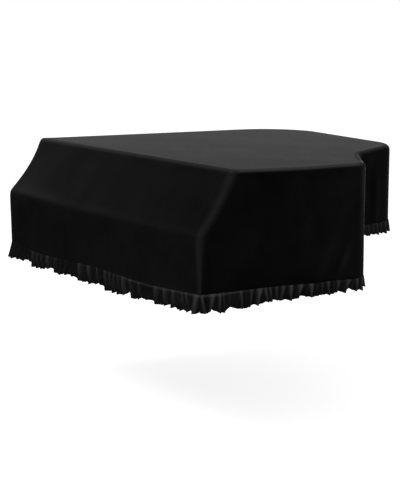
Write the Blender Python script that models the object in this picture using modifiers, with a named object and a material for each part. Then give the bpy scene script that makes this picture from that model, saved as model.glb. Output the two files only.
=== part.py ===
"""Fitted cloth cover for a grand piano, in the shape in which it hangs on the instrument.

Metres, +Z up, +X towards the treble side, +Y from the keyboard to the tail. Plan distances below
are measured from the front drop of the cover, and depths from the upper face of its top. The
origin is on the underside of the top panel, midway across and MOUNT_BACK behind the front drop.

Run with: blender --background --python part.py
"""
from collections import namedtuple
import math

import bpy
from mathutils import Vector

# ---------------------------------------------------------------- driving dimensions
BASS_X = -0.765             # bass side from the middle, at the front drop
BASS_SPLAY = 0.020          # how far the bass side runs inward for each metre back
TREBLE_X = 0.757            # treble side from the middle, at the front drop
TREBLE_SPLAY = 0.050        # how far the treble side runs outward for each metre back
BASS_RUN = 0.154            # the top edge lies this far behind the front drop at its bass end
TREBLE_RUN = 0.142          # and at its treble end
SLOPE_DROP = 0.223          # depth of the soft fold between slope and front drop
SEAM_DROP = 0.448           # depth of the ruffle's seam along the front
TAIL_SEAM_DROP = 0.318      # depth of the ruffle's seam round the tail, which hangs short
BASS_SAG = 0.021            # how far the slope hangs hollow at its bass end
TREBLE_SAG = 0.013          # and at its treble end
FOLD_SOFTNESS = 0.011       # width of the soft fold under the slope
BASS_CORNER_RADIUS = 0.018  # of the upright corner beside the keyboard
TREBLE_CORNER_RADIUS = 0.028
EDGE_WIDTH = 0.024          # the walls curl over the edge of the top by this width
CORNER_EDGE_WIDTH = 0.013   # and by this width round the bass front corner
CORNER_EDGE_REACH = 0.09    # within this distance of that corner
EDGE_DROP = 0.026           # and that curl ends at this depth
TREBLE_BOW = 0.022          # how far the top edge bows outward along the treble side
SHEET = 0.0025              # thickness of the velvet
RUFFLE_SHEET = 0.0020       # thickness of the ruffle
SEAM_GAP = 0.0005           # clear space between neighbouring panels
RUFFLE_GAP = 0.0007         # clear space between a panel and its ruffle
STRIP_GAP = 0.0016          # clear space between the ends of two ruffle strips
MOUNT_BACK = 0.800          # the origin's distance behind the front drop

VELVET_TINT = (0.010, 0.010, 0.011)
RUFFLE_TINT = (0.014, 0.014, 0.015)

# ---------------------------------------------------------------- plan outline
Corner = namedtuple("Corner", "x y radius")
BASS_FRONT, TREBLE_FRONT, BEND, WAIST, TAIL_TREBLE, TAIL_BASS = range(6)
BACK_CORNERS = [
    Corner(x=0.795, y=0.738, radius=0.09),
    Corner(x=0.478, y=0.958, radius=0.29),
    Corner(x=0.225, y=1.365, radius=0.28),
    Corner(x=BASS_X + BASS_SPLAY * 1.500, y=1.500, radius=0.26),
]


def front_line(depth, run, sag):
    """How far the front cloth lies behind the front drop at a depth below the top."""
    part = 1 - depth / SLOPE_DROP
    slope = run * part + 4 * sag * part * (1 - part)
    return 0.5 * (slope + math.hypot(slope, FOLD_SOFTNESS))


def plan_corners(depth):
    """Corners of the cover's outline at a depth, anticlockwise from the bass front corner."""
    bass_y = front_line(depth, BASS_RUN, BASS_SAG)
    treble_y = front_line(depth, TREBLE_RUN, TREBLE_SAG)
    front = [
        Corner(BASS_X + BASS_SPLAY * bass_y, bass_y, BASS_CORNER_RADIUS),
        Corner(TREBLE_X + TREBLE_SPLAY * treble_y, treble_y, TREBLE_CORNER_RADIUS),
    ]
    return front + BACK_CORNERS


class Outline:
    """A closed outline of round corners, each followed by a straight run."""

    def __init__(self, corners):
        self.arcs = []
        count = len(corners)
        for index, corner in enumerate(corners):
            before, after = corners[index - 1], corners[(index + 1) % count]
            here = Vector((corner.x, corner.y))
            heading = (here - Vector((before.x, before.y))).normalized()
            leaving = (Vector((after.x, after.y)) - here).normalized()
            turn = math.atan2(heading.cross(leaving), heading.dot(leaving))
            setback = corner.radius * math.tan(abs(turn) / 2)
            start = here - heading * setback
            self.arcs.append((start, math.atan2(heading.y, heading.x), turn, corner.radius))

    def arc_point(self, index, fraction):
        """Point and heading at a fraction of a corner's arc."""
        start, heading, turn, radius = self.arcs[index]
        side = math.copysign(radius, turn)
        centre = start + side * Vector((-math.sin(heading), math.cos(heading)))
        angle = heading + turn * fraction
        return centre + side * Vector((math.sin(angle), -math.cos(angle))), angle

    def at(self, kind, index, fraction):
        """Point and outward normal on the arc of a corner, or on the run that follows it."""
        if kind == "arc":
            point, heading = self.arc_point(index, fraction)
        else:
            here, heading = self.arc_point(index, 1)
            there = self.arcs[(index + 1) % len(self.arcs)][0]
            point = here.lerp(there, fraction)
        return point, Vector((math.sin(heading), -math.cos(heading)))

    def length(self, kind, index):
        if kind == "arc":
            return abs(self.arcs[index][2]) * self.arcs[index][3]
        here = self.arc_point(index, 1)[0]
        return (self.arcs[(index + 1) % len(self.arcs)][0] - here).length


SEAM_OUTLINE = Outline(plan_corners(SEAM_DROP))


def station(kind, index, fraction):
    """Distance along the seam line from the bass front corner, which names places on the walls."""
    before = sum(SEAM_OUTLINE.length("arc", i) + SEAM_OUTLINE.length("run", i) for i in range(index))
    if kind == "run":
        before += SEAM_OUTLINE.length("arc", index)
    return before + SEAM_OUTLINE.length(kind, index) * fraction


PERIMETER = station("run", TAIL_BASS, 1)
FRONT_START = station("run", BASS_FRONT, 0)
TREBLE_START = station("run", TREBLE_FRONT, 0)
BEND_END = station("arc", BEND, 1)
WAIST_END = station("arc", WAIST, 1)
TAIL_CORNER_END = station("arc", TAIL_BASS, 1)

# ---------------------------------------------------------------- panels of the wall
Span = namedtuple("Span", "kind corner start end steps")
PANELS = {
    "front": [
        Span("run", TAIL_BASS, 0.99, 1, 1),
        Span("arc", BASS_FRONT, 0, 1, 5),
        Span("run", BASS_FRONT, 0, 1, 9),
        Span("arc", TREBLE_FRONT, 0, 1, 5),
        Span("run", TREBLE_FRONT, 0, 0.02, 1),
    ],
    "treble": [
        Span("run", TREBLE_FRONT, 0.02, 1, 14),
        Span("arc", BEND, 0, 1, 6),
        Span("run", BEND, 0, 0.15, 1),
    ],
    "bentside": [
        Span("run", BEND, 0.15, 1, 3),
        Span("arc", WAIST, 0, 1, 7),
        Span("run", WAIST, 0, 1, 4),
        Span("arc", TAIL_TREBLE, 0, 1, 10),
        Span("run", TAIL_TREBLE, 0, 0.05, 1),
    ],
    "tail": [
        Span("run", TAIL_TREBLE, 0.05, 0.95, 8),
    ],
    "spine": [
        Span("run", TAIL_TREBLE, 0.95, 1, 1),
        Span("arc", TAIL_BASS, 0, 1, 13),
        Span("run", TAIL_BASS, 0, 0.99, 14),
    ],
}
FIXED_ROWS = [0.06, 0.10, 0.14, 0.18, 0.205, 0.223, 0.245]  # depths of the rows above the drop
DROP_ROWS = 3               # rows from there to the seam
EDGE_STEPS = 4              # faces round the curl at the top of a wall

# ---------------------------------------------------------------- hem line and soft folds
Hem = namedtuple("Hem", "station drop ruffle flare lean")  # lean: drawn in at the seam
HEM = [
    Hem(0.0, SEAM_DROP, 0.068, 0.019, 0.008),
    Hem(FRONT_START + 0.26, SEAM_DROP + 0.018, 0.056, 0.012, 0.008),
    Hem(FRONT_START + 0.75, SEAM_DROP + 0.009, 0.066, 0.010, 0.010),
    Hem(FRONT_START + 0.90, SEAM_DROP + 0.013, 0.070, 0.010, 0.010),
    Hem(FRONT_START + 1.12, SEAM_DROP + 0.017, 0.056, 0.010, 0.013),
    Hem(TREBLE_START, SEAM_DROP + 0.004, 0.068, 0.012, 0.018),
    Hem(TREBLE_START + 0.35, SEAM_DROP - 0.003, 0.052, 0.010, 0.006),
    Hem(BEND_END, SEAM_DROP - 0.004, 0.043, 0.002, -0.002),
    Hem(WAIST_END, TAIL_SEAM_DROP - 0.012, 0.044, 0.003, -0.003),
    Hem(WAIST_END + 0.30, TAIL_SEAM_DROP + 0.002, 0.049, 0.004, -0.002),
    Hem(TAIL_CORNER_END, TAIL_SEAM_DROP, 0.045, 0.008, 0.0),
    Hem(TAIL_CORNER_END + 0.70, SEAM_DROP, 0.060, 0.010, 0.008),
    Hem(PERIMETER, SEAM_DROP, 0.068, 0.019, 0.008),
]

FOLD_RISE = 0.12            # a soft fold reaches its full height this far below its top
Fold = namedtuple("Fold", "station width height top slant")
SOFT_FOLDS = [
    Fold(FRONT_START + 0.30, 0.090, 0.004, 0.28, 0.10),
    Fold(FRONT_START + 1.05, 0.120, 0.003, 0.28, -0.10),
    Fold(TREBLE_START + 0.46, 0.045, 0.005, 0.08, 0.0),
    Fold(TREBLE_START + 0.655, 0.045, 0.006, 0.08, -0.45),
    Fold(TREBLE_START + 0.73, 0.040, -0.005, 0.14, -0.50),
    Fold(WAIST_END + 0.15, 0.040, 0.003, 0.06, 0.05),
    Fold(TAIL_CORNER_END - 0.75, 0.070, 0.005, 0.08, 0.10),
    Fold(TAIL_CORNER_END - 0.15, 0.060, 0.005, 0.06, -0.05),
    Fold(TAIL_CORNER_END + 0.35, 0.080, -0.005, 0.10, 0.10),
    Fold(TAIL_CORNER_END + 0.60, 0.060, 0.006, 0.10, -0.12),
]

# ---------------------------------------------------------------- ruffle
FOLD_REACH = 0.010          # how far a fold swings out and in at the hem
HEAD_REACH = 0.15           # share of that swing at the seam
FLANK_STEPS = 3             # faces from a fold's crest to the valley beside it
RUFFLE_ROWS = 2
HEM_WAVE = 0.003            # how much the hem rises and falls
FOLD_PITCH = 0.050          # mean width of a fold on the strips that aren't in CRESTS
PLAIN_GAP = 0.085           # crests further apart than this have plain cloth between them
VALLEY = 0.028              # and this much beside each of the two is still a fold
Crest = namedtuple("Crest", "offset reach")  # offset: from where the strip's run starts
CRESTS = {
    "front": (FRONT_START, [
        Crest(-0.035, 0.3), Crest(0.035, 0.3), Crest(0.100, 0.25), Crest(0.155, 0.35),
        Crest(0.211, 0.8), Crest(0.250, 0.8), Crest(0.286, 0.8), Crest(0.346, 1.0),
        Crest(0.417, 0.7), Crest(0.500, 0.3), Crest(0.629, 0.9), Crest(0.701, 1.1),
        Crest(0.767, 0.9), Crest(0.826, 1.0), Crest(0.868, 0.8), Crest(0.903, 0.7),
        Crest(0.935, 0.7), Crest(0.982, 1.1), Crest(1.040, 1.0), Crest(1.100, 0.9),
        Crest(1.220, 1.1), Crest(1.285, 1.1), Crest(1.338, 0.9), Crest(1.397, 0.9),
        Crest(1.437, 0.8), Crest(1.483, 1.0),
    ]),
    "treble": (TREBLE_START, [
        Crest(0.034, 0.7), Crest(0.070, 0.9), Crest(0.108, 0.5), Crest(0.154, 0.6),
        Crest(0.196, 0.7), Crest(0.230, 0.9), Crest(0.262, 0.6), Crest(0.288, 0.5),
        Crest(0.312, 0.45), Crest(0.336, 0.5), Crest(0.372, 0.9), Crest(0.411, 0.9),
        Crest(0.461, 0.9), Crest(0.506, 0.8), Crest(0.551, 0.8), Crest(0.590, 0.9),
        Crest(0.630, 0.9), Crest(0.672, 0.8), Crest(0.712, 0.8), Crest(0.755, 0.9),
    ]),
}


def smooth(value):
    value = min(max(value, 0.0), 1.0)
    return value * value * (3 - 2 * value)


def hem_at(along):
    """The hem's measures at a station, eased between the rows of HEM."""
    for low, high in zip(HEM, HEM[1:]):
        if along <= high.station:
            share = smooth((along - low.station) / (high.station - low.station))
            return Hem(along, *(a + (b - a) * share for a, b in zip(low[1:], high[1:])))
    return HEM[-1]


def seam_drop(span, fraction):
    """Seam depth on a span, straight from one column of the wall to the next."""
    stride = (span.end - span.start) / span.steps
    step = min(int((fraction - span.start) / stride), span.steps - 1)
    ends = [span.start + stride * (step + side) for side in (0, 1)]
    low, high = (hem_at(station(span.kind, span.corner, end)).drop for end in ends)
    return low + (high - low) * (fraction - ends[0]) / stride


def soft_folds(along, depth):
    """Outward push of the soft folds in the hanging cloth."""
    push = 0.0
    for fold in SOFT_FOLDS:
        across = (along - fold.station - fold.slant * (depth - fold.top)) / fold.width
        push += fold.height * math.exp(-across * across) * smooth((depth - fold.top) / FOLD_RISE)
    return push


def treble_bow(kind, corner, fraction, depth):
    if (kind, corner) != ("run", TREBLE_FRONT):
        return 0.0
    return TREBLE_BOW * math.sin(math.pi * fraction) ** 2 * max(0.0, 1 - depth / SEAM_DROP)


def wall_point(column, depth):
    """Plan point and outward normal of the hanging wall at a column and depth."""
    point, normal = Outline(plan_corners(depth)).at(*column)
    along = station(*column)
    lean = hem_at(along).lean * max(0.0, (depth - SLOPE_DROP) / (SEAM_DROP - SLOPE_DROP))
    push = soft_folds(along, depth) + treble_bow(*column, depth) - lean
    return point + normal * push, normal


def place(point, depth):
    """World position of a plan point at a depth below the upper face of the top."""
    return Vector((point.x, point.y - MOUNT_BACK, SHEET - depth))


def edge_width(along):
    """Width of the curl at a station."""
    corner = 0.5 * FRONT_START
    away = abs((along - corner + PERIMETER / 2) % PERIMETER - PERIMETER / 2)
    share = smooth(away / CORNER_EDGE_REACH)
    return CORNER_EDGE_WIDTH + (EDGE_WIDTH - CORNER_EDGE_WIDTH) * share


def columns_of(spans):
    """Columns of a panel, half a seam gap short at both ends."""
    columns = []
    for span in spans:
        for step in range(span.steps + 1):
            fraction = span.start + (span.end - span.start) * step / span.steps
            if step or not columns:
                columns.append([span.kind, span.corner, fraction])
    for end, sign in ((0, 1), (-1, -1)):
        kind, corner, _ = columns[end]
        columns[end][2] += sign * SEAM_GAP / 2 / SEAM_OUTLINE.length(kind, corner)
    return [tuple(column) for column in columns]


# ---------------------------------------------------------------- making the pieces
def new_collection(name):
    collection = bpy.data.collections.new(name)
    bpy.context.scene.collection.children.link(collection)
    return collection


def velvet(name, tint, roughness, sheen):
    material = bpy.data.materials.new(name)
    material.use_nodes = True
    shader = material.node_tree.nodes["Principled BSDF"]
    shader.inputs["Base Color"].default_value = (*tint, 1)
    shader.inputs["Metallic"].default_value = 0.0
    shader.inputs["Roughness"].default_value = roughness
    shader.inputs["Sheen Weight"].default_value = sheen
    material.diffuse_color = (*tint, 1)
    return material


def loft(name, rows, collection, material, thickness, closed=False, cap=False):
    """A sheet lofted through rows of points, thickened inward from its outer face."""
    width = len(rows[0])
    vertices = [point for row in rows for point in row]
    faces = []
    for row in range(len(rows) - 1):
        for column in range(width if closed else width - 1):
            beside = (column + 1) % width
            upper, lower = row * width, (row + 1) * width
            faces.append((upper + column, lower + column, lower + beside, upper + beside))
    if cap:
        faces.append(tuple(range(width)))
    mesh = bpy.data.meshes.new(name)
    mesh.from_pydata(vertices, [], faces)
    mesh.shade_smooth()
    mesh.materials.append(material)
    sheet = bpy.data.objects.new(name, mesh)
    collection.objects.link(sheet)
    solid = sheet.modifiers.new("thickness", "SOLIDIFY")
    solid.thickness = thickness
    solid.offset = -1
    return sheet


def curl(column):
    """Points from the seam of the top over the edge to the hanging wall, at one column."""
    edge, normal = wall_point(column, 0)
    inner = place(edge - normal * edge_width(station(*column)), 0)
    corner = place(edge, 0)
    lower = place(wall_point(column, EDGE_DROP)[0], EDGE_DROP)
    steps = [step / EDGE_STEPS for step in range(EDGE_STEPS + 1)]
    return [inner.lerp(corner, t).lerp(corner.lerp(lower, t), t) for t in steps]


def make_top(collection):
    """The flat top, a seam gap inside the curl of the walls all round."""
    rim = []
    for spans in PANELS.values():
        for span in spans:
            for step in range(span.steps):
                fraction = span.start + (span.end - span.start) * step / span.steps
                column = (span.kind, span.corner, fraction)
                edge, normal = wall_point(column, 0)
                width = edge_width(station(*column))
                inset = width + SEAM_GAP * EDGE_WIDTH / width
                rim.append(place(edge - normal * inset, 0))
    material = velvet("top_panel_velvet", VELVET_TINT, 0.90, 0.5)
    loft("top_panel", [rim], collection, material, SHEET, closed=True, cap=True)


def make_panel(name, spans, collection):
    """One panel of the wall, from the top's seam down to the ruffle's seam."""
    columns = columns_of(spans)
    rows = [[] for _ in range(EDGE_STEPS + 1 + len(FIXED_ROWS) + DROP_ROWS)]
    for column in columns:
        seam = hem_at(station(*column)).drop
        last = FIXED_ROWS[-1]
        drops = [last + (seam - last) * (step + 1) / DROP_ROWS for step in range(DROP_ROWS)]
        points = curl(column)
        points += [place(wall_point(column, depth)[0], depth) for depth in FIXED_ROWS + drops]
        for row, point in zip(rows, points):
            row.append(point)
    material = velvet(name + "_panel_velvet", VELVET_TINT, 0.90, 0.5)
    loft(name + "_panel", rows, collection, material, SHEET)


def crests_of(name, length, start):
    """Crests of a strip as (distance along it, reach)."""
    if name in CRESTS:
        landmark, crests = CRESTS[name]
        return [((landmark + crest.offset - start) % PERIMETER, crest.reach) for crest in crests]
    count = round(length / FOLD_PITCH)
    widths = [1 + 0.30 * math.sin(2.1 * i + start) + 0.15 * math.sin(5.3 * i) for i in range(count)]
    scale = length / sum(widths)
    crests, begin = [], 0.0
    for index, width in enumerate(widths):
        crests.append((begin + width * scale / 2, 0.85 + 0.25 * math.sin(3.7 * index + start)))
        begin += width * scale
    return crests


def gathers(crests, length):
    """Columns of a strip as (distance, swing), from crest to valley to crest."""
    knots = [(0.0, 0.0)]
    for index, (place_now, reach) in enumerate(crests):
        if index:
            before, last = crests[index - 1]
            depth = -0.5 * (last + reach)
            if place_now - before > PLAIN_GAP:
                knots += [(before + VALLEY, depth / 2), (place_now - VALLEY, depth / 2)]
            else:
                knots.append(((before + place_now) / 2, depth))
        knots.append((place_now, reach))
    knots.append((length, 0.0))
    columns = []
    for (low, swing), (high, next_swing) in zip(knots, knots[1:]):
        for step in range(FLANK_STEPS):
            share = step / FLANK_STEPS
            turned = swing + (next_swing - swing) * smooth(share)
            columns.append((low + (high - low) * share, turned))
    return columns + [(length, 0.0)]


def span_at(spans, distance):
    """The span at a distance along a strip, and the fraction of its arc or run."""
    for span in spans:
        whole = SEAM_OUTLINE.length(span.kind, span.corner)
        length = whole * (span.end - span.start)
        if distance <= length or span is spans[-1]:
            return span, span.start + distance / whole
        distance -= length


def make_ruffle(name, spans, collection):
    """One gathered strip under a panel, its folds opening from the seam to the hem."""
    lengths = [SEAM_OUTLINE.length(s.kind, s.corner) * (s.end - s.start) for s in spans]
    length = sum(lengths) - STRIP_GAP
    start = station(spans[0].kind, spans[0].corner, spans[0].start)
    rows = [[] for _ in range(RUFFLE_ROWS + 1)]
    for distance, swing in gathers(crests_of(name, length, start), length):
        span, fraction = span_at(spans, distance + STRIP_GAP / 2)
        column = (span.kind, span.corner, fraction)
        hem = hem_at(station(*column))
        seam = seam_drop(span, fraction)
        point, normal = wall_point(column, seam)
        for index, row in enumerate(rows):
            down = index / RUFFLE_ROWS
            opening = HEAD_REACH + (1 - HEAD_REACH) * down
            push = FOLD_REACH * swing * opening + hem.flare * down
            drop = (hem.ruffle + HEM_WAVE * math.sin(distance * 61 + start)) * down
            row.append(place(point + normal * push, seam + RUFFLE_GAP + drop))
    material = velvet("ruffle_" + name + "_velvet", RUFFLE_TINT, 0.75, 0.6)
    loft("ruffle_" + name, rows, collection, material, RUFFLE_SHEET)


def main():
    for old in list(bpy.data.objects):
        bpy.data.objects.remove(old)
    cover = new_collection("grand_piano_cover")
    make_top(cover)
    for name, spans in PANELS.items():
        make_panel(name, spans, cover)
        make_ruffle(name, spans, cover)


main()
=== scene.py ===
"""Looks of the velvet grand piano cover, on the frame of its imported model.

Metres, +Z up, +X towards the treble side, +Y from the keyboard to the tail. Plan distances are
measured from the front drop, and depths from the upper face of the top, as in the part's source.
"""
import math
from collections import namedtuple

import bpy
import numpy as np
from mathutils import Matrix


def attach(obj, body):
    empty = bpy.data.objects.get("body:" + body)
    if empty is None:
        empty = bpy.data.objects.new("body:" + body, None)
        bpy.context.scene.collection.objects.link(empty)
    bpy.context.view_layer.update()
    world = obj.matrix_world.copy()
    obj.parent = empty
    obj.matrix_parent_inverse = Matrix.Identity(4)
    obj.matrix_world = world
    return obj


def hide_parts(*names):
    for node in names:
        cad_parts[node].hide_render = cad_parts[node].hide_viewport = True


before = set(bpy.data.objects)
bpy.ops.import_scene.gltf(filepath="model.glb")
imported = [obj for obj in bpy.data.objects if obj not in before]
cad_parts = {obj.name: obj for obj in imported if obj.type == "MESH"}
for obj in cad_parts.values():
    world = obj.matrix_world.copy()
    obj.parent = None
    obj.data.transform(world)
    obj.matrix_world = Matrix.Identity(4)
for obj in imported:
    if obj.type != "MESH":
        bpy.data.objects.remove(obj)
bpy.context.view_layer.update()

# ---------------------------------------------------------------- sizes shared with the solids
BASS_X = -0.765             # bass side from the middle, at the front drop
BASS_SPLAY = 0.020          # how far the bass side runs inward for each metre back
TREBLE_X = 0.757            # treble side from the middle, at the front drop
TREBLE_SPLAY = 0.050        # how far the treble side runs outward for each metre back
BASS_RUN = 0.154            # the top edge lies this far behind the front drop at its bass end
TREBLE_RUN = 0.142          # and at its treble end
SLOPE_DROP = 0.223          # below this depth the walls lean in towards their seam
SEAM_DROP = 0.448           # depth of the ruffle's seam along the front
TAIL_SEAM_DROP = 0.318      # depth of the ruffle's seam round the tail, which hangs short
BASS_SAG = 0.021            # how far the slope hangs hollow at its bass end
TREBLE_SAG = 0.013          # and at its treble end
FOLD_SOFTNESS = 0.011       # width of the soft fold under the slope
FRONT_CORNER_RADII = [0.018, 0.028]
EDGE_WIDTH = 0.024          # the walls curl over the edge of the top by this width
CORNER_EDGE_WIDTH = 0.013   # and by this width round the bass front corner
CORNER_EDGE_REACH = 0.09    # within this distance of that corner
EDGE_DROP = 0.026           # and that curl ends at this depth
TREBLE_BOW = 0.022          # how far the top edge bows outward along the treble side
SHEET = 0.0025              # thickness of the velvet
MOUNT_BACK = 0.800          # the origin's distance behind the front drop

# sizes of the looks alone
BASS_FOLD = 0.225           # depth of the slope's crease, a little lower than in the solids
TREBLE_FOLD = 0.236         # and at its treble end
RUFFLE_SHEET = 0.0016       # a little thinner than the solids, for crisper folds
FLOOR_Z = -0.9943

# the six corners of the plan, in the order of their stations
CORNER_COUNT = 6
BASS_FRONT, TREBLE_FRONT, BEND, WAIST, TAIL_TREBLE, TAIL_BASS = range(CORNER_COUNT)
Corner = namedtuple("Corner", "x y radius")
BACK_CORNERS = [
    Corner(x=0.795, y=0.738, radius=0.09),
    Corner(x=0.478, y=0.958, radius=0.29),
    Corner(x=0.225, y=1.365, radius=0.28),
    Corner(x=BASS_X + BASS_SPLAY * 1.500, y=1.500, radius=0.26),
]


def front_line(depth, run, sag, fold):
    """How far behind the front drop the cloth lies: the sagging slope, then the drop itself."""
    part = 1 - depth / fold
    slope = run * part + 4 * sag * part * (1 - part)
    return 0.5 * (slope + np.hypot(slope, FOLD_SOFTNESS))


def corners_at(depth):
    """Corner points (arrays ending in x, y) and radii of the outline at an array of depths."""
    points = []
    for x, splay, run, sag, fold in (
        (BASS_X, BASS_SPLAY, BASS_RUN, BASS_SAG, BASS_FOLD),
        (TREBLE_X, TREBLE_SPLAY, TREBLE_RUN, TREBLE_SAG, TREBLE_FOLD),
    ):
        y = front_line(depth, run, sag, fold)
        points.append(np.stack([x + splay * y, y], -1))
    for corner in BACK_CORNERS:
        points.append(np.broadcast_to([corner.x, corner.y], points[0].shape))
    return points, FRONT_CORNER_RADII + [corner.radius for corner in BACK_CORNERS]


def unit(vector):
    return vector / np.linalg.norm(vector, axis=-1, keepdims=True)


def arc_of(points, radii, index):
    """Start, heading, turn and radius of one corner's arc."""
    here = points[index]
    heading = unit(here - points[index - 1])
    leaving = unit(points[(index + 1) % CORNER_COUNT] - here)
    cross = heading[..., 0] * leaving[..., 1] - heading[..., 1] * leaving[..., 0]
    turn = np.arctan2(cross, (heading * leaving).sum(-1))
    setback = radii[index] * np.tan(np.abs(turn) / 2)
    start = here - heading * setback[..., None]
    return start, np.arctan2(heading[..., 1], heading[..., 0]), turn, radii[index]


def on_arc(arc, fraction):
    start, heading, turn, radius = arc
    side = np.copysign(radius, turn)[..., None]
    angle = heading + turn * fraction
    centre = start + side * np.stack([-np.sin(heading), np.cos(heading)], -1)
    return centre + side * np.stack([np.sin(angle), -np.cos(angle)], -1), angle


def outline_at(kind, index, fraction, depth):
    """Plan points and outward normals at arrays of fractions and depths."""
    fraction, depth = np.broadcast_arrays(fraction, depth)
    points, radii = corners_at(depth)
    arc = arc_of(points, radii, index)
    if kind == "arc":
        point, heading = on_arc(arc, fraction)
    else:
        here, heading = on_arc(arc, np.ones_like(fraction))
        there = arc_of(points, radii, (index + 1) % CORNER_COUNT)[0]
        point = here + (there - here) * fraction[..., None]
    return point, np.stack([np.sin(heading), -np.cos(heading)], -1)


def span_length(kind, index):
    depth = np.array([SEAM_DROP])
    points, radii = corners_at(depth)
    arc = arc_of(points, radii, index)
    if kind == "arc":
        return float(abs(arc[2][0]) * arc[3])
    here = on_arc(arc, np.ones(1))[0]
    return float(np.linalg.norm(arc_of(points, radii, (index + 1) % CORNER_COUNT)[0] - here))


LENGTHS = {(kind, index): span_length(kind, index)
           for kind in ("arc", "run") for index in range(CORNER_COUNT)}


def station(kind, index, fraction):
    """Distance along the seam line from the bass front corner."""
    before = sum(LENGTHS["arc", i] + LENGTHS["run", i] for i in range(index))
    if kind == "run":
        before += LENGTHS["arc", index]
    return before + LENGTHS[kind, index] * fraction


PERIMETER = station("run", TAIL_BASS, 1)
FRONT_START = station("run", BASS_FRONT, 0)
TREBLE_START = station("run", TREBLE_FRONT, 0)
BEND_END = station("arc", BEND, 1)
WAIST_END = station("arc", WAIST, 1)
TAIL_CORNER_END = station("arc", TAIL_BASS, 1)

# drop: of the seam; ruffle: its width; flare: outwards at the hem; lean: of the wall, inwards
Hem = namedtuple("Hem", "station drop ruffle flare lean")
HEM = [
    Hem(0.0, SEAM_DROP, 0.068, 0.019, 0.008),
    Hem(FRONT_START + 0.26, SEAM_DROP + 0.018, 0.056, 0.012, 0.008),
    Hem(FRONT_START + 0.75, SEAM_DROP + 0.009, 0.066, 0.010, 0.010),
    Hem(FRONT_START + 0.90, SEAM_DROP + 0.013, 0.070, 0.010, 0.010),
    Hem(FRONT_START + 1.12, SEAM_DROP + 0.017, 0.056, 0.010, 0.013),
    Hem(TREBLE_START, SEAM_DROP + 0.004, 0.068, 0.012, 0.018),
    Hem(TREBLE_START + 0.35, SEAM_DROP - 0.003, 0.052, 0.010, 0.006),
    Hem(BEND_END, SEAM_DROP - 0.004, 0.043, 0.002, -0.002),
    Hem(WAIST_END, TAIL_SEAM_DROP - 0.012, 0.044, 0.003, -0.003),
    Hem(WAIST_END + 0.30, TAIL_SEAM_DROP + 0.002, 0.049, 0.004, -0.002),
    Hem(TAIL_CORNER_END, TAIL_SEAM_DROP, 0.045, 0.008, 0.0),
    Hem(TAIL_CORNER_END + 0.70, SEAM_DROP, 0.060, 0.010, 0.008),
    Hem(PERIMETER, SEAM_DROP, 0.068, 0.019, 0.008),
]

# soft folds of the walls, which rise below their top and may slant
FOLD_RISE = 0.12
Fold = namedtuple("Fold", "station width height top slant")
SOFT_FOLDS = [
    Fold(FRONT_START + 0.30, 0.090, 0.004, 0.28, 0.10),
    Fold(FRONT_START + 1.05, 0.120, 0.003, 0.28, -0.10),
    Fold(TREBLE_START + 0.46, 0.045, 0.005, 0.08, 0.0),
    Fold(TREBLE_START + 0.655, 0.045, 0.006, 0.08, -0.45),
    Fold(TREBLE_START + 0.73, 0.040, -0.005, 0.14, -0.50),
    Fold(WAIST_END + 0.15, 0.040, 0.003, 0.06, 0.05),
    Fold(TAIL_CORNER_END - 0.75, 0.070, 0.005, 0.08, 0.10),
    Fold(TAIL_CORNER_END - 0.15, 0.060, 0.005, 0.06, -0.05),
    Fold(TAIL_CORNER_END + 0.35, 0.080, -0.005, 0.10, 0.10),
    Fold(TAIL_CORNER_END + 0.60, 0.060, 0.006, 0.10, -0.12),
]


def smooth(value):
    value = np.clip(value, 0.0, 1.0)
    return value * value * (3 - 2 * value)


def between(value, low, high, rise, fall):
    """1 between low and high, easing in over the first rise and out over the last fall."""
    return smooth((value - low) / rise) * smooth((high - value) / fall)


def bell(value, centre, width):
    return np.exp(-((value - centre) / width) ** 2)


def hem_at(along):
    """Seam depth, ruffle width, flare and lean at an array of stations."""
    along = np.asarray(along, float)
    stations = np.array([row.station for row in HEM])
    row = np.clip(np.searchsorted(stations, along, side="left") - 1, 0, len(HEM) - 2)
    share = smooth((along - stations[row]) / (stations[row + 1] - stations[row]))
    columns = np.array(HEM)[:, 1:].T
    return [column[row] + (column[row + 1] - column[row]) * share for column in columns]


def soft_folds(along, depth):
    push = 0.0
    for fold in SOFT_FOLDS:
        middle = fold.station + fold.slant * (depth - fold.top)
        push = push + (fold.height * bell(along, middle, fold.width)
                       * smooth((depth - fold.top) / FOLD_RISE))
    return push


# the stretches of the outline that each panel covers: an arc, or the run after it
Span = namedtuple("Span", "kind corner start end")
PANELS = {
    "front": [
        Span("run", TAIL_BASS, 0.99, 1), Span("arc", BASS_FRONT, 0, 1),
        Span("run", BASS_FRONT, 0, 1), Span("arc", TREBLE_FRONT, 0, 1),
        Span("run", TREBLE_FRONT, 0, 0.02),
    ],
    "treble": [
        Span("run", TREBLE_FRONT, 0.02, 1), Span("arc", BEND, 0, 1), Span("run", BEND, 0, 0.15),
    ],
    "bentside": [
        Span("run", BEND, 0.15, 1), Span("arc", WAIST, 0, 1), Span("run", WAIST, 0, 1),
        Span("arc", TAIL_TREBLE, 0, 1), Span("run", TAIL_TREBLE, 0, 0.05),
    ],
    "tail": [Span("run", TAIL_TREBLE, 0.05, 0.95)],
    "spine": [
        Span("run", TAIL_TREBLE, 0.95, 1), Span("arc", TAIL_BASS, 0, 1),
        Span("run", TAIL_BASS, 0, 0.99),
    ],
}

# ---------------------------------------------------------------- fine relief of the cloth
WALL_PITCH = 0.0065         # spacing of the wall's grid
ARC_PITCH = 0.0030          # and along the two tight front corners
CURL_STEPS = 10
SEAM_DIP = 0.0002           # the sewn edges dip into their seam by this much


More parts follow.
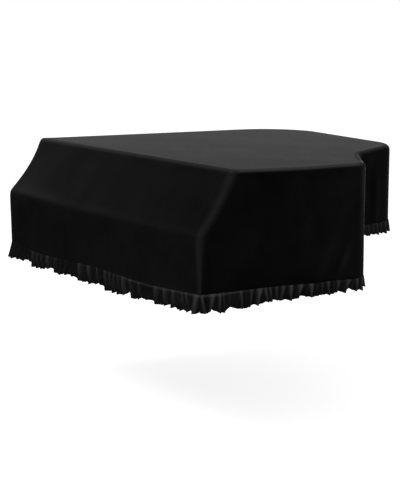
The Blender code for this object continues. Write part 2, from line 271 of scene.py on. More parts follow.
def hang(along, depth):
    """Slow, shallow waviness of hanging cloth, deeper towards the hem."""
    share = 0.35 + 0.65 * smooth(depth / SEAM_DROP)
    wave = (0.45 * np.sin(along * 19.0 + 1.1 + 2.2 * depth)
            + 0.30 * np.sin(along * 33.0 + 0.3 - 3.1 * depth)
            + 0.22 * np.sin(along * 57.0 + 2.0 + 5.0 * depth)
            + 0.16 * np.sin(along * 23.0 + depth * 31.0 + 0.7)
            + 0.12 * np.sin(along * 88.0 - depth * 12.0))
    return 0.0011 * share * wave


def puckers(along, above):
    """Small gathers that the ruffle's seam draws into the wall above it."""
    size = 0.55 + 0.45 * np.sin(along * 9.3 + 1.0)
    wave = np.sin(along * 262.0 + 1.6 * np.sin(along * 41.0)) + 0.5 * np.sin(along * 417.0)
    return 0.0009 * size * wave * np.exp(-above / 0.020)


def place(point, depth):
    """World positions of plan points at their depths below the upper face of the top."""
    return np.stack([point[..., 0], point[..., 1] - MOUNT_BACK, SHEET - depth], -1)


def wall_at(span, fraction, depth, fine=True):
    """Plan points, normals and stations of the hanging wall at arrays of fractions and depths."""
    fraction, depth = np.broadcast_arrays(fraction, depth)
    point, normal = outline_at(span.kind, span.corner, fraction, depth)
    along = station(span.kind, span.corner, fraction)
    seam, _, _, lean = hem_at(along)
    push = soft_folds(along, depth)
    push = push - lean * np.maximum(0.0, (depth - SLOPE_DROP) / (SEAM_DROP - SLOPE_DROP))
    if (span.kind, span.corner) == ("run", TREBLE_FRONT):
        bow = np.sin(math.pi * fraction) ** 2 * np.maximum(0.0, 1 - depth / SEAM_DROP)
        push = push + TREBLE_BOW * bow
    if fine:
        push = push + hang(along, depth) + puckers(along, np.maximum(seam - depth, 0.0))
    return point + normal * push[..., None], normal, along


def edge_width(along):
    """Width of the curl, narrower round the bass front corner."""
    away = abs((along - 0.5 * FRONT_START + PERIMETER / 2) % PERIMETER - PERIMETER / 2)
    return CORNER_EDGE_WIDTH + (EDGE_WIDTH - CORNER_EDGE_WIDTH) * smooth(away / CORNER_EDGE_REACH)


def fractions_of(span, pitch):
    length = LENGTHS[span.kind, span.corner] * (span.end - span.start)
    count = max(2, math.ceil(length / pitch))
    return np.linspace(span.start, span.end, count + 1)


def pitch_of(span, wide):
    tight = span.kind == "arc" and span.corner in (BASS_FRONT, TREBLE_FRONT)
    return ARC_PITCH if tight else wide


def curl_rows(span, fraction):
    """Rows of points from the top's seam over the edge, at depths growing as the square."""
    edge, normal, along = wall_at(span, fraction, np.zeros_like(fraction), fine=False)
    inner = place(edge - normal * edge_width(along)[:, None], 0 * fraction)
    corner = place(edge, 0 * fraction)
    below, _, _ = wall_at(span, fraction, np.full_like(fraction, EDGE_DROP))
    lower = place(below, np.full_like(fraction, EDGE_DROP))
    rows = []
    for step in range(CURL_STEPS + 1):
        t = step / CURL_STEPS
        a, b = inner + (corner - inner) * t, corner + (lower - corner) * t
        rows.append(a + (b - a) * t)
    rows[0][:, 2] -= SEAM_DIP
    return rows


# ---------------------------------------------------------------- meshes
def mesh_from(name, vertices, faces):
    mesh = bpy.data.meshes.new(name)
    mesh.from_pydata(vertices.reshape(-1, 3).tolist(), [], faces)
    mesh.shade_smooth()
    piece = bpy.data.objects.new(name, mesh)
    bpy.context.scene.collection.objects.link(piece)
    return piece


def grid_faces(rows, columns, closed=False):
    upper = np.arange(rows - 1)[:, None] * columns + np.arange(columns if closed else columns - 1)
    beside = upper + 1
    if closed:
        beside[:, -1] -= columns
    quads = np.stack([upper, upper + columns, beside + columns, beside], -1)
    return quads.reshape(-1, 4).tolist()


def give(piece, name, values):
    attribute = piece.data.attributes.new(name, "FLOAT", "POINT")
    attribute.data.foreach_set("value", np.asarray(values, np.float32).ravel())


def thicken(piece, thickness):
    """Give a sheet its thickness, with a crisp cut edge."""
    mesh = piece.data
    edge_of = np.zeros(len(mesh.loops), np.int32)
    mesh.loops.foreach_get("edge_index", edge_of)
    cut = np.bincount(edge_of, minlength=len(mesh.edges)) == 1
    mesh.attributes.new("sharp_edge", "BOOLEAN", "EDGE").data.foreach_set("value", cut)
    solid = piece.modifiers.new("thickness", "SOLIDIFY")
    solid.thickness = thickness
    solid.offset = -1


def declare(piece, node):
    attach(piece, "root")
    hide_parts(node)


# ---------------------------------------------------------------- velvet
TUFT_SCALE = 0.22           # scale of the tufts' noise, as a share of the pile's
BRUSHED_GLOSS = 0.12        # how much smoother brushed pile is


def node_of(tree, kind, location, **values):
    node = tree.nodes.new(kind)
    node.location = location
    for key, value in values.items():
        setattr(node, key, value)
    return node


def noise_of(tree, location, scale, detail, roughness=0.5):
    node = node_of(tree, "ShaderNodeTexNoise", location)
    node.inputs["Scale"].default_value = scale
    node.inputs["Detail"].default_value = detail
    node.inputs["Roughness"].default_value = roughness
    return node


def remap(tree, source, location, low, high, to_low, to_high):
    """Output of a node that takes source from low and high to to_low and to_high."""
    node = node_of(tree, "ShaderNodeMapRange", location)
    node.inputs["From Min"].default_value = low
    node.inputs["From Max"].default_value = high
    node.inputs["To Min"].default_value = to_low
    node.inputs["To Max"].default_value = to_high
    tree.links.new(source, node.inputs["Value"])
    return node.outputs["Result"]


def velvet(name, dark, light, roughness, sheen, sheen_roughness, pile, pile_scale):
    """Black pile: a dark ground, made lighter by the painted light and shade of its attribute."""
    material = bpy.data.materials.new(name)
    material.use_nodes = True
    tree = material.node_tree
    link = tree.links.new
    shader = tree.nodes["Principled BSDF"]
    shader.inputs["Metallic"].default_value = 0.0
    shader.inputs["Specular IOR Level"].default_value = 0.0
    shader.inputs["Sheen Weight"].default_value = sheen
    shader.inputs["Sheen Roughness"].default_value = sheen_roughness
    shader.inputs["Sheen Tint"].default_value = (1.0, 1.0, 1.0, 1)

    # painted light and shade from the attribute, then patches of pile brushed one way or the other
    # and a fine grain
    place_of = node_of(tree, "ShaderNodeTexCoord", (-1400, 0))
    pile_and_painted_light = node_of(tree, "ShaderNodeAttribute", (-1200, 300), attribute_name="pile_and_painted_light")
    brushed = noise_of(tree, (-1200, 60), 5.0, 4.0, 0.55)
    fine = noise_of(tree, (-1200, -180), pile_scale, 2.0)
    tufts = noise_of(tree, (-1200, -420), pile_scale * TUFT_SCALE, 3.0)
    for texture in (brushed, fine, tufts):
        link(place_of.outputs["Object"], texture.inputs["Vector"])
    lift = node_of(tree, "ShaderNodeMath", (-780, 200), operation="ADD")
    link(pile_and_painted_light.outputs["Fac"], lift.inputs[0])
    link(remap(tree, brushed.outputs["Fac"], (-980, 60), 0.32, 0.70, -0.010, 0.040),
         lift.inputs[1])
    total = node_of(tree, "ShaderNodeMath", (-600, 120), operation="ADD", use_clamp=True)
    link(lift.outputs[0], total.inputs[0])
    link(remap(tree, fine.outputs["Fac"], (-980, -180), 0.3, 0.7, -0.010, 0.030),
         total.inputs[1])

    # inputs 6 and 7 and output 2 are the Mix node's colours, inputs 2 and 3 its numbers
    colour = node_of(tree, "ShaderNodeMix", (-400, 160), data_type="RGBA")
    colour.inputs[6].default_value = (*dark, 1)
    colour.inputs[7].default_value = (*light, 1)
    link(total.outputs[0], colour.inputs[0])
    link(colour.outputs[2], shader.inputs["Base Color"])
    link(remap(tree, total.outputs[0], (-400, -120), 0.0, 1.0, roughness,
               roughness - BRUSHED_GLOSS), shader.inputs["Roughness"])

    height = node_of(tree, "ShaderNodeMix", (-780, -320), data_type="FLOAT")
    height.inputs[0].default_value = 0.6
    link(fine.outputs["Fac"], height.inputs[2])
    link(tufts.outputs["Fac"], height.inputs[3])
    relief = node_of(tree, "ShaderNodeBump", (-400, -340))
    relief.inputs["Strength"].default_value = 0.5
    relief.inputs["Distance"].default_value = pile
    link(height.outputs[0], relief.inputs["Height"])
    link(relief.outputs["Normal"], shader.inputs["Normal"])
    return material


WALL_PILE = dict(dark=(0.0016, 0.0016, 0.0017), light=(0.030, 0.030, 0.031), roughness=0.85,
                 pile=0.0005, pile_scale=900.0)
RUFFLE_PILE = dict(dark=(0.0029, 0.0029, 0.0030), light=(0.062, 0.062, 0.064), roughness=0.60,
                   pile=0.0004, pile_scale=1100.0)
VELVET = velvet("velvet", sheen=0.245, sheen_roughness=0.16, **WALL_PILE)
# a shaded copy of the velvet, with less sheen, for painted shade on the concave side
SHADED_VELVET = velvet("shaded_velvet", sheen=0.07, sheen_roughness=0.20, **WALL_PILE)
RUFFLE_VELVET = velvet("ruffle_velvet", sheen=0.07, sheen_roughness=0.20, **RUFFLE_PILE)


# ---------------------------------------------------------------- lightness of the walls, mostly painted light and shade
BASS_CORNER = station("arc", BASS_FRONT, 0.5)
TREBLE_CORNER = station("arc", TREBLE_FRONT, 0.5)
BEND_MIDDLE = station("arc", BEND, 0.5)

# painted highlights down the wall, over the front corners and the bend
Line = namedtuple("Line", "station width light")
CORNER_HIGHLIGHTS = [
    Line(BASS_CORNER, 0.022, 0.12),
    Line(BASS_CORNER + PERIMETER, 0.022, 0.12),
    Line(TREBLE_CORNER, 0.018, 0.205),
]
BEND_HIGHLIGHT = Line(BEND_MIDDLE + 0.006, 0.015, 0.28)      # weaker towards the hem
SEAM_LINE = 0.006           # width of the line along the ruffle's seam
CURL_SHEEN = 0.30           # painted sheen on the curl over the top's edge
TREBLE_CURL_SHEEN = 0.65    # how much more there is of that on the treble side
FRONT_CURL_SHEEN = 0.38
BEFORE_BEND_LIGHT = 0.036   # on the treble side, growing towards the bend

# soft patches of painted light and shade, on soft folds, the slope and the notch at the bend
Patch = namedtuple("Patch", "station depth width height slant light")
PAINTED_PATCHES = [
    Patch(0.09, 0.175, 0.10, 0.050, 0.0, 0.035),
    Patch(0.20, 0.208, 0.20, 0.032, 0.0, 0.055),
    Patch(0.32, 0.217, 0.16, 0.016, 0.0, 0.035),
    Patch(0.80, 0.219, 0.11, 0.012, 0.0, 0.045),
    Patch(TREBLE_START + 0.300, 0.08, 0.060, 0.06, 0.0, 0.020),
    Patch(TREBLE_START + 0.315, 0.17, 0.070, 0.10, 0.0, 0.026),
    Patch(TREBLE_START + 0.435, 0.24, 0.020, 0.07, 0.0, 0.022),
    Patch(TREBLE_START + 0.545, 0.33, 0.028, 0.09, -0.40, 0.045),
    Patch(TREBLE_START + 0.595, 0.38, 0.012, 0.04, -0.40, -0.040),
    Patch(TREBLE_START + 0.610, 0.18, 0.030, 0.05, -0.40, 0.020),
    Patch(TREBLE_START + 0.630, 0.36, 0.014, 0.05, -0.40, 0.090),
    Patch(BEND_END, 0.0, 0.035, 0.020, 0.0, -0.30),
]


# painted highlights down the front corners and the bend
def painted_highlights(along, depth):
    bend = bell(along, BEND_HIGHLIGHT.station, BEND_HIGHLIGHT.width) * (1 - 0.6 * smooth(depth / 0.30))
    return BEND_HIGHLIGHT.light * bend + sum(
        line.light * bell(along, line.station, line.width) for line in CORNER_HIGHLIGHTS)


def seam_highlight_and_shadow(along, depth, seam):
    """Painted highlight along the front's seam, and painted shadow along the treble side's."""
    light = (0.03 * smooth((along - FRONT_START - 0.60) / 0.30)
             - 0.07 * smooth((along - TREBLE_START + 0.05) / 0.05))
    return light * bell(depth, seam, SEAM_LINE)


# painted sheen on the curl over the top's edge, fading as the curl turns down
def painted_curl_sheen(along, depth, front):
    down = depth / EDGE_DROP
    treble = between(along, TREBLE_START - 0.02, BEND_MIDDLE + 0.01, 0.04, 0.04)
    fade = smooth((down - 0.08 - 0.10 * treble) / (0.47 - 0.09 * treble))
    side = (CURL_SHEEN + TREBLE_CURL_SHEEN * treble) * (1 - fade)
    return side + front * (FRONT_CURL_SHEEN * (1 - smooth(down / 0.62)) - side)


def painted_front_light(along, depth):
    """Painted light on the slope and a painted highlight along its crease, lightest towards the
    bass end.
    """
    crease = BASS_FOLD + 0.015 * smooth((along - 0.05) / 0.60)
    line = 0.03 + 0.05 * smooth((FRONT_START + 0.35 - along) / 0.30)
    bass = np.clip(1 - along / TREBLE_START, 0, 1)
    slope = smooth((crease + 0.010 - depth) / 0.02) * (0.016 + 0.09 * bass ** 1.5)
    # the whole front a little lighter, more so towards the treble end
    drop = 0.033 + 0.020 * smooth((along - 0.50) / 0.40)
    return bell(depth, crease - 0.014, 0.012) * line + slope + drop


def painted_patches_light(along, depth):
    light = 0.0
    for patch in PAINTED_PATCHES:
        middle = patch.station + patch.slant * (depth - patch.depth)
        light = light + (patch.light * bell(along, middle, patch.width)
                         * bell(depth, patch.depth, patch.height))
    return light


def painted_light_of(along, depth, seam):
    """How much painted light and shade the wall gets, at arrays of stations, depths and seam
    depths.
    """
    front = between(along, 0.0, TREBLE_START, 0.02, 0.03)
    before_bend = between(along, TREBLE_START + 0.40, BEND_END, 0.25, 0.02)
    return (painted_highlights(along, depth) + seam_highlight_and_shadow(along, depth, seam)
            + painted_curl_sheen(along, depth, front) + front * painted_front_light(along, depth)
            + BEFORE_BEND_LIGHT * before_bend + painted_patches_light(along, depth))


# ---------------------------------------------------------------- wall panels
def make_wall(name, spans):
    blocks, pile_and_painted_lights = [], []
    for index, span in enumerate(spans):
        fraction = fractions_of(span, pitch_of(span, WALL_PITCH))
        if index:
            fraction = fraction[1:]
        along = station(span.kind, span.corner, fraction)
        seam = hem_at(along)[0]
        rows = curl_rows(span, fraction)
        painted_light_rows = [painted_light_of(along, np.full_like(along, EDGE_DROP * (step / CURL_STEPS) ** 2), seam)
                    for step in range(CURL_STEPS + 1)]
        count = round((SEAM_DROP - EDGE_DROP) / WALL_PITCH)
        for step in range(1, count + 1):
            depth = EDGE_DROP + (seam - EDGE_DROP) * step / count
            point, _, _ = wall_at(span, fraction, depth)
            rows.append(place(point, depth))
            painted_light_rows.append(painted_light_of(along, depth, seam))
        blocks.append(np.stack(rows))
        pile_and_painted_lights.append(np.stack(painted_light_rows))
    grid, pile_and_painted_light = np.concatenate(blocks, 1), np.concatenate(pile_and_painted_lights, 1)
    piece = mesh_from(name + "_cloth", grid, grid_faces(*grid.shape[:2]))
    give(piece, "pile_and_painted_light", pile_and_painted_light)
    thicken(piece, SHEET)
    # a shaded copy of the velvet, with less sheen, paints shade on the concave side
    piece.data.materials.append(SHADED_VELVET if name == "bentside" else VELVET)
    width = (station(spans[-1].kind, spans[-1].corner, spans[-1].end)
             - station(spans[0].kind, spans[0].corner, spans[0].start)) % PERIMETER
    declare(piece, name + "_panel")


# ---------------------------------------------------------------- top
TOP_PITCH = 0.012
TOP_GAP = 0.0003            # between the top's cut edge and the walls' curl
TOP_SHEET = SHEET - 0.0004
TOP_MIDDLE = np.array([-0.17, 0.62])
TOP_SWELL = 0.0005          # mean depth and height of the soft rolls
TOP_SHARES = [0.0, 0.003, 0.007, 0.012, 0.02, *np.linspace(0.035, 0.94, 34)]     # rim to middle


def make_top():
    rim = []
    for spans in PANELS.values():
        for span in spans:
            fraction = fractions_of(span, pitch_of(span, TOP_PITCH))[:-1]
            edge, normal, along = wall_at(span, fraction, np.zeros_like(fraction), fine=False)
            rim.append(edge - normal * (edge_width(along) + TOP_GAP)[:, None])
    rim = np.concatenate(rim)
    rows = []
    for share in TOP_SHARES:
        plan = rim + (TOP_MIDDLE - rim) * share
        x, y = plan[:, 0], plan[:, 1]
        swell = (0.5 * np.sin(7.0 * x + 4.1 * y) + 0.35 * np.sin(11.0 * y - 5.0 * x + 1.3)
                 + 0.25 * np.sin(17.0 * x + 1.0) * np.sin(13.0 * y))
        depth = TOP_SWELL * (1 + swell * smooth(share / 0.08))
        rows.append(place(plan, depth if share else np.full_like(x, SEAM_DIP)))
    grid = np.stack(rows)
    faces = [face[::-1] for face in grid_faces(*grid.shape[:2], closed=True)]
    middle = len(TOP_SHARES) * len(rim)
    around = list(range(middle - len(rim), middle))
    faces += [[a, b, middle] for a, b in zip(around, around[1:] + around[:1])]
    vertices = np.concatenate([grid.reshape(-1, 3), grid[-1].mean(0)[None]])
    piece = mesh_from("top_cloth", vertices, faces)
    give(piece, "pile_and_painted_light", np.zeros(len(vertices)))
    thicken(piece, TOP_SHEET)
    piece.data.materials.append(VELVET)
    declare(piece, "top_panel")


# ---------------------------------------------------------------- ruffles
FOLD_REACH = 0.0085         # how far a fold swings out and in at the hem
FOLD_PITCH = 0.050          # mean width of a fold on the strips that aren't in CRESTS
CREST_SHARE = 0.29          # and a crest's width there, as a share of its fold's
VALLEY = 0.5                # depth of the valleys, as a share of the crests beside them
PLAIN_GAP = 0.085           # crests further apart than this have plain cloth between them
HEM_TIGHT = 0.62            # a crest's width at the hem, as a share of that at the seam
LIT_SPREAD = 1.35           # how much wider than the crest its painted highlight is
RUFFLE_STEP = 0.0018
TUCK = 0.0010               # the head is tucked this far into the seam
HEM_LINE = 0.86             # the turned hem is sewn along here
HEM_STEP = 0.0004           # how far the turned hem stands out
STITCH_DIP = 0.0006
WELT = 0.0008               # the cloth rolls out this far just under the seam
END_TAPER = 0.008           # the folds die away over this length at a strip's ends
HEM_SINK = 0.0030           # how much further the hem hangs under a crest than in a valley
FOLD_WAVER = 0.0025         # how far a fold wavers sideways on its way down
LIT_DRIFT = 0.012           # how far the painted highlight lies beside the front's crests at the hem
# the rows of points, from the head in the seam at -0.03 to the hem at 1
DOWNS = [-0.03, 0, 0.015, 0.03, 0.05, 0.075, 0.105, 0.14, *np.linspace(0.19, 0.80, 9),
         HEM_LINE - 0.02, HEM_LINE, HEM_LINE + 0.02, 0.94, 1.0]

# offset: from where the strip's run starts; width: at the seam; lean: sideways at the hem
Crest = namedtuple("Crest", "offset width reach lean")
CRESTS = {
    "front": (FRONT_START, [
        Crest(0.018, 0.017, 0.30, 0.008), Crest(0.073, 0.020, 0.30, 0.008),
        Crest(0.135, 0.018, 0.25, 0.008), Crest(0.199, 0.014, 0.80, 0.024),
        Crest(0.242, 0.014, 0.75, 0.022), Crest(0.281, 0.011, 0.75, 0.022),
        Crest(0.335, 0.018, 1.00, 0.032), Crest(0.368, 0.010, 0.45, 0.018),
        Crest(0.402, 0.012, 0.70, 0.018), Crest(0.442, 0.009, 0.45, 0.017),
        Crest(0.490, 0.012, 0.45, 0.013), Crest(0.549, 0.013, 0.20, 0.005),
        Crest(0.604, 0.017, 0.95, 0.022), Crest(0.633, 0.009, 0.60, 0.015),
        Crest(0.680, 0.020, 1.00, 0.034), Crest(0.719, 0.008, 0.45, 0.012),
        Crest(0.749, 0.010, 0.95, 0.017), Crest(0.780, 0.008, 0.40, 0.012),
        Crest(0.814, 0.014, 0.95, 0.025), Crest(0.850, 0.011, 0.85, 0.019),
        Crest(0.885, 0.011, 0.85, 0.010), Crest(0.917, 0.010, 0.85, 0.018),
        Crest(0.956, 0.022, 1.05, 0.034), Crest(1.012, 0.014, 0.90, 0.034),
        Crest(1.042, 0.007, 0.45, 0.025), Crest(1.071, 0.011, 0.85, 0.018),
        Crest(1.151, 0.011, 0.35, 0.008), Crest(1.193, 0.019, 1.00, 0.021),
        Crest(1.221, 0.008, 0.40, 0.012), Crest(1.254, 0.019, 1.05, 0.031),
        Crest(1.284, 0.007, 0.45, 0.008), Crest(1.313, 0.011, 1.00, 0.013),
        Crest(1.347, 0.008, 0.60, 0.013), Crest(1.371, 0.008, 0.90, 0.014),
        Crest(1.400, 0.010, 1.00, 0.032), Crest(1.424, 0.007, 0.50, 0.015),
        Crest(1.466, 0.024, 1.10, 0.003), Crest(1.519, 0.010, 0.95, 0.006),
    ]),
    "treble": (TREBLE_START, [
        Crest(0.045, 0.012, 1.00, -0.020), Crest(0.075, 0.006, 0.90, -0.003),
        Crest(0.091, 0.005, 0.60, -0.004), Crest(0.117, 0.008, 0.45, -0.004),
        Crest(0.140, 0.006, 0.30, -0.006), Crest(0.164, 0.006, 0.85, 0.000),
        Crest(0.187, 0.005, 0.35, -0.004), Crest(0.210, 0.008, 0.70, -0.016),
        Crest(0.245, 0.012, 1.00, -0.017), Crest(0.269, 0.006, 0.90, 0.003),
        Crest(0.288, 0.005, 0.75, 0.005), Crest(0.317, 0.007, 0.65, -0.006),
        Crest(0.348, 0.008, 0.80, -0.022), Crest(0.382, 0.008, 1.00, -0.009),
        Crest(0.402, 0.004, 0.35, -0.006), Crest(0.423, 0.012, 1.00, -0.020),
        Crest(0.443, 0.004, 0.40, -0.004), Crest(0.465, 0.011, 1.00, -0.005),
        Crest(0.493, 0.006, 0.45, -0.005), Crest(0.519, 0.008, 0.60, -0.009),
        Crest(0.551, 0.008, 0.90, -0.001), Crest(0.576, 0.005, 0.50, -0.005),
        Crest(0.599, 0.009, 0.85, -0.013), Crest(0.618, 0.004, 0.35, -0.006),
        Crest(0.641, 0.012, 1.00, -0.021), Crest(0.661, 0.005, 0.40, -0.008),
        Crest(0.682, 0.010, 0.90, -0.010), Crest(0.716, 0.006, 0.90, -0.009),
        Crest(0.755, 0.011, 0.90, 0.000), Crest(0.786, 0.008, 0.60, 0.000),
    ]),
}

# how far the hem hangs below its even line, at distances from where the strip's run starts
HEM_DIPS = {
    "front": (FRONT_START, [
        (0.05, -0.003), (0.13, -0.004), (0.17, -0.014), (0.20, -0.006), (0.225, 0.005),
        (0.30, 0.004), (0.37, -0.010), (0.41, -0.009), (0.44, 0.010), (0.48, 0.002),
        (0.53, -0.006), (0.60, 0.002), (0.68, 0.006), (0.74, 0.000), (0.79, -0.006),
        (0.85, 0.002), (0.98, 0.003), (1.02, -0.010), (1.06, 0.012), (1.10, 0.006),
        (1.17, 0.000), (1.25, 0.006), (1.30, -0.002), (1.40, 0.006), (1.44, -0.002),
        (1.50, 0.002),
    ]),
    "treble": (TREBLE_START, [
        (0.02, -0.005), (0.04, -0.010), (0.065, 0.006), (0.085, 0.008), (0.11, -0.010),
        (0.14, 0.002), (0.17, 0.010), (0.20, 0.000), (0.25, 0.005), (0.30, -0.004),
        (0.37, 0.006), (0.42, -0.009), (0.46, 0.003), (0.52, -0.003), (0.56, 0.009),
        (0.585, -0.004), (0.62, 0.002), (0.64, -0.006), (0.68, 0.006), (0.73, 0.003),
    ]),
}


def hem_dip(name, along):
    """The hem's unevenness at an array of stations, none where it isn't in HEM_DIPS."""
    if name not in HEM_DIPS:
        return np.zeros_like(along)
    landmark, dips = HEM_DIPS[name]
    offset, dip = np.array(dips).T
    away = (along - landmark + 0.2) % PERIMETER - 0.2
    return np.interp(away, offset, dip, left=0.0, right=0.0)


def crests_of(name, length, start):
    """Distance, width, reach and lean of a strip's crests, as four columns of numbers."""
    if name in CRESTS:
        landmark, crests = CRESTS[name]
        table = np.array(crests)
        table[:, 0] = (table[:, 0] + landmark - start) % PERIMETER
        return table.T[..., None]
    index = np.arange(round(length / FOLD_PITCH))
    wide = 1 + 0.30 * np.sin(2.1 * index + start) + 0.15 * np.sin(5.3 * index)
    wide = wide * length / wide.sum()
    reach = 0.85 + 0.25 * np.sin(3.7 * index + start)
    lean = 0.004 * np.sin(1.7 * index + start)
    return np.array([np.cumsum(wide) - wide / 2, CREST_SHARE * wide, reach, lean])[..., None]


def merged(across, width, reach):
    """How far the crests stand out, melting into each other where two meet."""
    return ((reach * bell(across, 0.0, width)) ** 3).sum(0) ** (1 / 3)


def folds_at(crests, distance, down, drift):
    """How far the crests stand out at one height, and how strong their painted highlight is."""
    centre, width, reach, lean = crests
    order = np.arange(len(centre))[:, None]
    waver = FOLD_WAVER * np.sin(2.7 * order + 3.0 * down) * down
    across = distance - centre - (lean * down ** 1.3 + waver)
    tight = np.clip(0.55 * width / width.mean(), 0.25, 0.66)
    crest = merged(across, width * (1 - (1 - HEM_TIGHT) * down ** 0.8), reach)
    lit = merged(across - drift * down, LIT_SPREAD * width * (1 - tight * down ** 0.8), reach)
    return crest, lit


def valley_of(distance, crests):
    """How deep the valleys lie along a strip, shallow where the crests are far apart."""
    centres, reach = crests[0, :, 0], crests[2, :, 0]
    level = np.interp(distance, centres, VALLEY * reach)
    for low, high in zip(centres[:-1], centres[1:]):
        if high - low > PLAIN_GAP:
            level = level * (1 - 0.6 * between(distance, low, high, 0.03, 0.03))
    return level


def head_line(spans, lengths, distance):
    """Plan points, normals, stations and hem values where a strip is sewn to its wall."""
    ends = np.cumsum(lengths)
    which = np.minimum(np.searchsorted(ends, distance, side="left"), len(spans) - 1)
    point, normal = np.zeros((2, len(distance), 2))
    along, seam, wide, flare = np.zeros((4, len(distance)))
    for number, span in enumerate(spans):
        mine = which == number
        before = ends[number] - lengths[number]
        fraction = span.start + (distance[mine] - before) / LENGTHS[span.kind, span.corner]
        along[mine] = station(span.kind, span.corner, fraction)
        seam[mine], wide[mine], flare[mine], _ = hem_at(along[mine])
        point[mine], normal[mine], _ = wall_at(span, fraction, seam[mine])
    return point, normal, along, seam, wide, flare


def crest_highlight_of(along, turned, full):
    """How strong the painted highlight on the crests is along a strip."""
    crest_highlight = (0.207 + 0.293 * turned) * full * (1 - 0.55 * smooth((along - BEND_END) / 0.05))
    return crest_highlight * (1 + turned * (0.32 * bell(along, TREBLE_START + 0.32, 0.17) - 0.14))


def make_ruffle(name, spans):
    lengths = [LENGTHS[span.kind, span.corner] * (span.end - span.start) for span in spans]
    length = sum(lengths)
    start = station(spans[0].kind, spans[0].corner, spans[0].start)
    crests = crests_of(name, length, start)
    distance = np.linspace(0, length, round(length / RUFFLE_STEP) + 1)
    point, normal, along, seam, wide, flare = head_line(spans, lengths, distance)
    valley = valley_of(distance, crests)
    taper = between(distance, 0.0, length, END_TAPER, END_TAPER)
    pucker = puckers(along, 0.0)
    turned = smooth((along - TREBLE_START + 0.10) / 0.12)       # 1 past the treble front corner
    # the painted highlight is weaker on crests that reach less than 0.7
    full = np.interp(distance, crests[0, :, 0], np.minimum(crests[2, :, 0] / 0.7, 1.0))
    crest_highlight = crest_highlight_of(along, turned, full)
    drift = LIT_DRIFT * (1 - turned) * smooth(along / 0.05)
    # where the gathers roll out under the seam, which also carries a painted highlight
    joined = (0.12 * full + (0.55 + 0.35 * turned)
              * between(along, FRONT_START + 0.93, TREBLE_START + 0.22, 0.10, 0.08))
    wobble = (0.0012 * np.sin(along * 61.0 + start) + 0.0016 * np.sin(along * 131.0)
              + 0.0012 * np.sin(along * 237.0 + 1.0) + hem_dip(name, along) * taper)

    rows, pile_and_painted_lights = [], []
    for height in DOWNS:
        down = max(height, 0.0)
        crest, lit = (part * taper for part in folds_at(crests, distance, down, drift))
        opening = smooth(down / 0.13) * (0.24 + 0.76 * down ** 0.9)
        welt = joined * smooth(down / 0.03) * (1 - smooth((down - 0.07) / 0.12))
        push = FOLD_REACH * opening * ((1 + VALLEY) * crest - valley * taper)
        push = push + flare * down - pucker * smooth(down / 0.12) + WELT * welt
        push = push - TUCK * (1 - smooth((height - DOWNS[0]) / 0.09))
        push = push + HEM_STEP * smooth((down - HEM_LINE) / 0.02)
        if height == HEM_LINE:
            push = push - STITCH_DIP
        sink = (wobble + HEM_SINK * (crest - 0.4) * taper) * down ** 1.5
        rows.append(place(point + normal * push[:, None], seam + wide * height + sink))

        # painted highlights on the crests and painted shade in the valleys, darker towards the hem
        light = crest_highlight * lit ** (2.2 - 0.5 * turned) * (1 - 0.6 * down) - 0.03 + 0.02 * turned
        streak = 0.5 + 0.5 * np.sin(along * 410.0 + 3.0 * np.sin(along * 87.0) + 5.0 * down)
        # painted shade on the tucked head, and a painted highlight on the roll under the seam
        painted_head_shade = (1 - smooth(height / 0.03)) * (1 - np.minimum(joined, 1.0))
        pile_and_painted_lights.append(light + 0.23 * welt + 0.035 * streak ** 3 - 0.06 * painted_head_shade)
    grid, pile_and_painted_light = np.stack(rows), np.stack(pile_and_painted_lights)
    piece = mesh_from("ruffle_" + name + "_cloth", grid, grid_faces(*grid.shape[:2]))
    give(piece, "pile_and_painted_light", pile_and_painted_light)
    thicken(piece, RUFFLE_SHEET)
    piece.data.materials.append(RUFFLE_VELVET)
    declare(piece, "ruffle_" + name)


# ---------------------------------------------------------------- stage, light and camera
def make_floor():
    half = 30.0
    corners = np.array([[-half, -half, FLOOR_Z], [half, -half, FLOOR_Z],
                        [half, half, FLOOR_Z], [-half, half, FLOOR_Z]])
    floor = mesh_from("studio_floor", corners, [[0, 1, 2, 3]])
    material = bpy.data.materials.new("studio_floor")
    material.use_nodes = True
    shader = material.node_tree.nodes["Principled BSDF"]
    shader.inputs["Base Color"].default_value = (0.30, 0.30, 0.30, 1)
    shader.inputs["Roughness"].default_value = 0.9
    shader.inputs["Specular IOR Level"].default_value = 0.0
    shader.inputs["Emission Color"].default_value = (1, 1, 1, 1)
    shader.inputs["Emission Strength"].default_value = 0.80
    floor.data.materials.append(material)


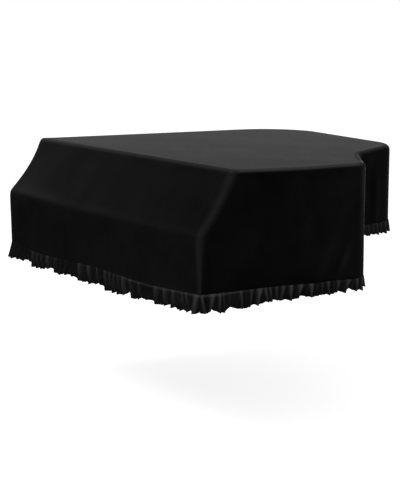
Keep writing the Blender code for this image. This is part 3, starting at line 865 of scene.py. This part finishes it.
def area_light(name, location, target, size, power):
    light = bpy.data.lights.new(name, "AREA")
    light.shape = "DISK"
    light.size = size
    light.energy = power
    lamp = bpy.data.objects.new(name, light)
    lamp.visible_camera = False
    bpy.context.scene.collection.objects.link(lamp)
    back = unit(np.array(location, float) - np.array(target, float))
    right = unit(np.cross([0.0, 0.0, 1.0], back))
    up = np.cross(back, right)
    lamp.matrix_world = Matrix([[right[i], up[i], back[i], location[i]] for i in range(3)]
                               + [[0, 0, 0, 1]])


def set_world():
    world = bpy.data.worlds.new("studio")
    world.use_nodes = True
    background = world.node_tree.nodes["Background"]
    background.inputs["Color"].default_value = (1, 1, 1, 1)
    background.inputs["Strength"].default_value = 1.0
    bpy.context.scene.world = world


def make_camera():
    """The camera that was fitted to the photo."""
    yaw, pitch, roll = math.radians(56.699), math.radians(8.965), 0.0077
    forward = np.array([-math.sin(yaw) * math.cos(pitch), math.cos(yaw) * math.cos(pitch),
                        -math.sin(pitch)])
    right = np.array([math.cos(yaw), math.sin(yaw), 0.0])
    up = np.cross(right, forward)
    rolled_right = math.cos(roll) * right + math.sin(roll) * up
    rolled_up = -math.sin(roll) * right + math.cos(roll) * up
    data = bpy.data.cameras.new("camera")
    data.sensor_width = 36.0
    data.lens = 115.2
    data.clip_end = 200.0
    camera = bpy.data.objects.new("camera", data)
    bpy.context.scene.collection.objects.link(camera)
    at = (5.5166, -3.9183, 0.6183)
    camera.matrix_world = Matrix(
        [[rolled_right[i], rolled_up[i], -forward[i], at[i]] for i in range(3)]
        + [[0, 0, 0, 1]])
    bpy.context.scene.camera = camera


make_top()
for name, spans in PANELS.items():
    make_wall(name, spans)
    make_ruffle(name, spans)
make_floor()
set_world()
area_light("key", (-2.6, -3.2, 3.0), (-0.2, -0.7, -0.1), 1.6, 110.0)
area_light("over_bass", (-1.1, -0.70, 1.2), (-0.7, -0.72, -0.1), 0.7, 12.0)
area_light("back", (-1.6, 2.4, 1.3), (0.0, 0.0, 0.0), 1.5, 20.0)
make_camera()
bpy.context.scene.view_settings.view_transform = "Standard"
